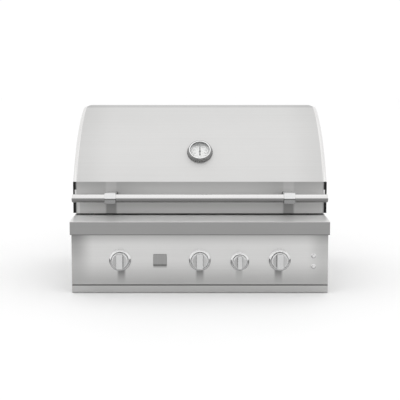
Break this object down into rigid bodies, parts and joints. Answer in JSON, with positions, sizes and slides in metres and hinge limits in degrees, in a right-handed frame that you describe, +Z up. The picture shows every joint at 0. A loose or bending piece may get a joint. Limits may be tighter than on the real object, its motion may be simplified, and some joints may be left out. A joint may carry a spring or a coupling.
{
  "type": "built-in gas grill",
  "caption": "Built-in gas grill with a hinged roll-top hood, bar handle, knobs on gas valves, burners, lift-out grates, drip tray and hood thermometer.",
  "frame": {"origin": "centre of the underside of the base plate, which rests on the support of the counter's cut-out", "axes": "+X to the user's right, +Y to the back, +Z up; the control panel faces -Y"},
  "size_m": [0.8266, 0.564, 0.5666],
  "materials": {
    "stainless": "brushed",
    "liner_steel": "satin",
    "bright_steel": "polished",
    "rod_steel": "satin",
    "valve_metal": "cast",
    "plug_brass": "machined",
    "pipe_steel": "zinc plated",
    "ceramic": "glazed",
    "black_plastic": "moulded",
    "dial_face": "printed",
    "needle_paint": "painted",
    "clear_glass": "clear",
    "rubber": "moulded"
  },
  "bodies": {
    "root": {"back_panel": "stainless", "badge_plate": "stainless", "base_plate": "liner_steel", "burner_center": "rod_steel", "burner_left": "rod_steel", "burner_right": "rod_steel", "control_bezels": "bright_steel", "control_panel": "stainless", "cooking_grate_center": "rod_steel", "cooking_grate_left": "rod_steel", "cooking_grate_right": "rod_steel", "firebox_back": "liner_steel", "firebox_front": "liner_steel", "firebox_left": "liner_steel", "firebox_right": "liner_steel", "flame_tamers": "liner_steel", "front_ledge": "stainless", "grease_funnel": "liner_steel", "hinge_brackets": "liner_steel", "hinge_pins": "bright_steel", "igniter_electrodes": "ceramic", "igniter_module": "black_plastic", "manifold_pipe": "pipe_steel", "rack_stands": "liner_steel", "rear_burner": "rod_steel", "rear_feed_pipe": "plug_brass", "screws": "bright_steel", "side_panel_left": "stainless", "side_panel_right": "stainless", "top_trim": "stainless", "tray_rails": "liner_steel", "valve_body_center": "valve_metal", "valve_body_left": "valve_metal", "valve_body_rear_burner": "valve_metal", "valve_body_right": "valve_metal", "warming_rack": "rod_steel"},
    "hood": {"hood_skin": "stainless", "hood_rear": "stainless", "hood_liner": "liner_steel", "hood_cap_left": "stainless", "hood_cap_right": "stainless", "hood_bumpers": "rubber", "handle_bar": "stainless", "handle_brackets": "bright_steel", "thermometer_case": "bright_steel", "thermometer_dial": "dial_face", "thermometer_lens": "clear_glass", "thermometer_probe": "bright_steel"},
    "needle": {"thermometer_needle": "needle_paint"},
    "main_button": {"igniter_button": "bright_steel"},
    "rear_button": {"rear_igniter_button": "bright_steel"},
    "tray": {"drip_tray": "stainless"},
    "plug_left": {"valve_plug_left": "plug_brass"},
    "knob_left": {"knob_left": "bright_steel"},
    "plug_center": {"valve_plug_center": "plug_brass"},
    "knob_center": {"knob_center": "bright_steel"},
    "plug_rear_burner": {"valve_plug_rear_burner": "plug_brass"},
    "knob_rear_burner": {"knob_rear_burner": "bright_steel"},
    "plug_right": {"valve_plug_right": "plug_brass"},
    "knob_right": {"knob_right": "bright_steel"}
  },
  "joints": [
    {"name": "hood_hinge", "type": "hinge", "parent": "root", "child": "hood", "pos_m": [0, 0.236, 0.2545], "axis": [-1, 0, 0], "range_deg": [0, 85]},
    {"name": "needle_turn", "type": "hinge", "parent": "hood", "child": "needle", "pos_m": [0, -0.11458, 0.42743], "axis": [0, -0.7604, 0.6494], "range_deg": [-135, 135], "stiffness_Nm_per_rad": 0.002},
    {"name": "tray_slide", "type": "slide", "parent": "root", "child": "tray", "axis": [0, -1, 0], "range_m": [0, 0.4]},
    {"name": "main_button_push", "type": "slide", "parent": "root", "child": "main_button", "axis": [0, 1, 0], "range_m": [0, 0.0025], "stiffness_N_per_m": 400, "springref_m": -0.002},
    {"name": "rear_button_push", "type": "slide", "parent": "root", "child": "rear_button", "axis": [0, 1, 0], "range_m": [0, 0.0025], "stiffness_N_per_m": 400, "springref_m": -0.002},
    {"name": "valve_left_turn", "type": "hinge", "parent": "root", "child": "plug_left", "pos_m": [-0.25, -0.278, 0.106], "axis": [0, -1, 0], "range_deg": [0, 210]},
    {"name": "knob_left_push", "type": "slide", "parent": "plug_left", "child": "knob_left", "axis": [0, 1, 0], "range_m": [0, 0.003], "stiffness_N_per_m": 900, "springref_m": -0.003},
    {"name": "valve_center_turn", "type": "hinge", "parent": "root", "child": "plug_center", "pos_m": [0, -0.278, 0.106], "axis": [0, -1, 0], "range_deg": [0, 210]},
    {"name": "knob_center_push", "type": "slide", "parent": "plug_center", "child": "knob_center", "axis": [0, 1, 0], "range_m": [0, 0.003], "stiffness_N_per_m": 900, "springref_m": -0.003},
    {"name": "valve_rear_burner_turn", "type": "hinge", "parent": "root", "child": "plug_rear_burner", "pos_m": [0.125, -0.278, 0.1026], "axis": [0, -1, 0], "range_deg": [0, 210]},
    {"name": "knob_rear_burner_push", "type": "slide", "parent": "plug_rear_burner", "child": "knob_rear_burner", "axis": [0, 1, 0], "range_m": [0, 0.003], "stiffness_N_per_m": 900, "springref_m": -0.003},
    {"name": "valve_right_turn", "type": "hinge", "parent": "root", "child": "plug_right", "pos_m": [0.25, -0.278, 0.106], "axis": [0, -1, 0], "range_deg": [0, 210]},
    {"name": "knob_right_push", "type": "slide", "parent": "plug_right", "child": "knob_right", "axis": [0, 1, 0], "range_m": [0, 0.003], "stiffness_N_per_m": 900, "springref_m": -0.003}
  ]
}
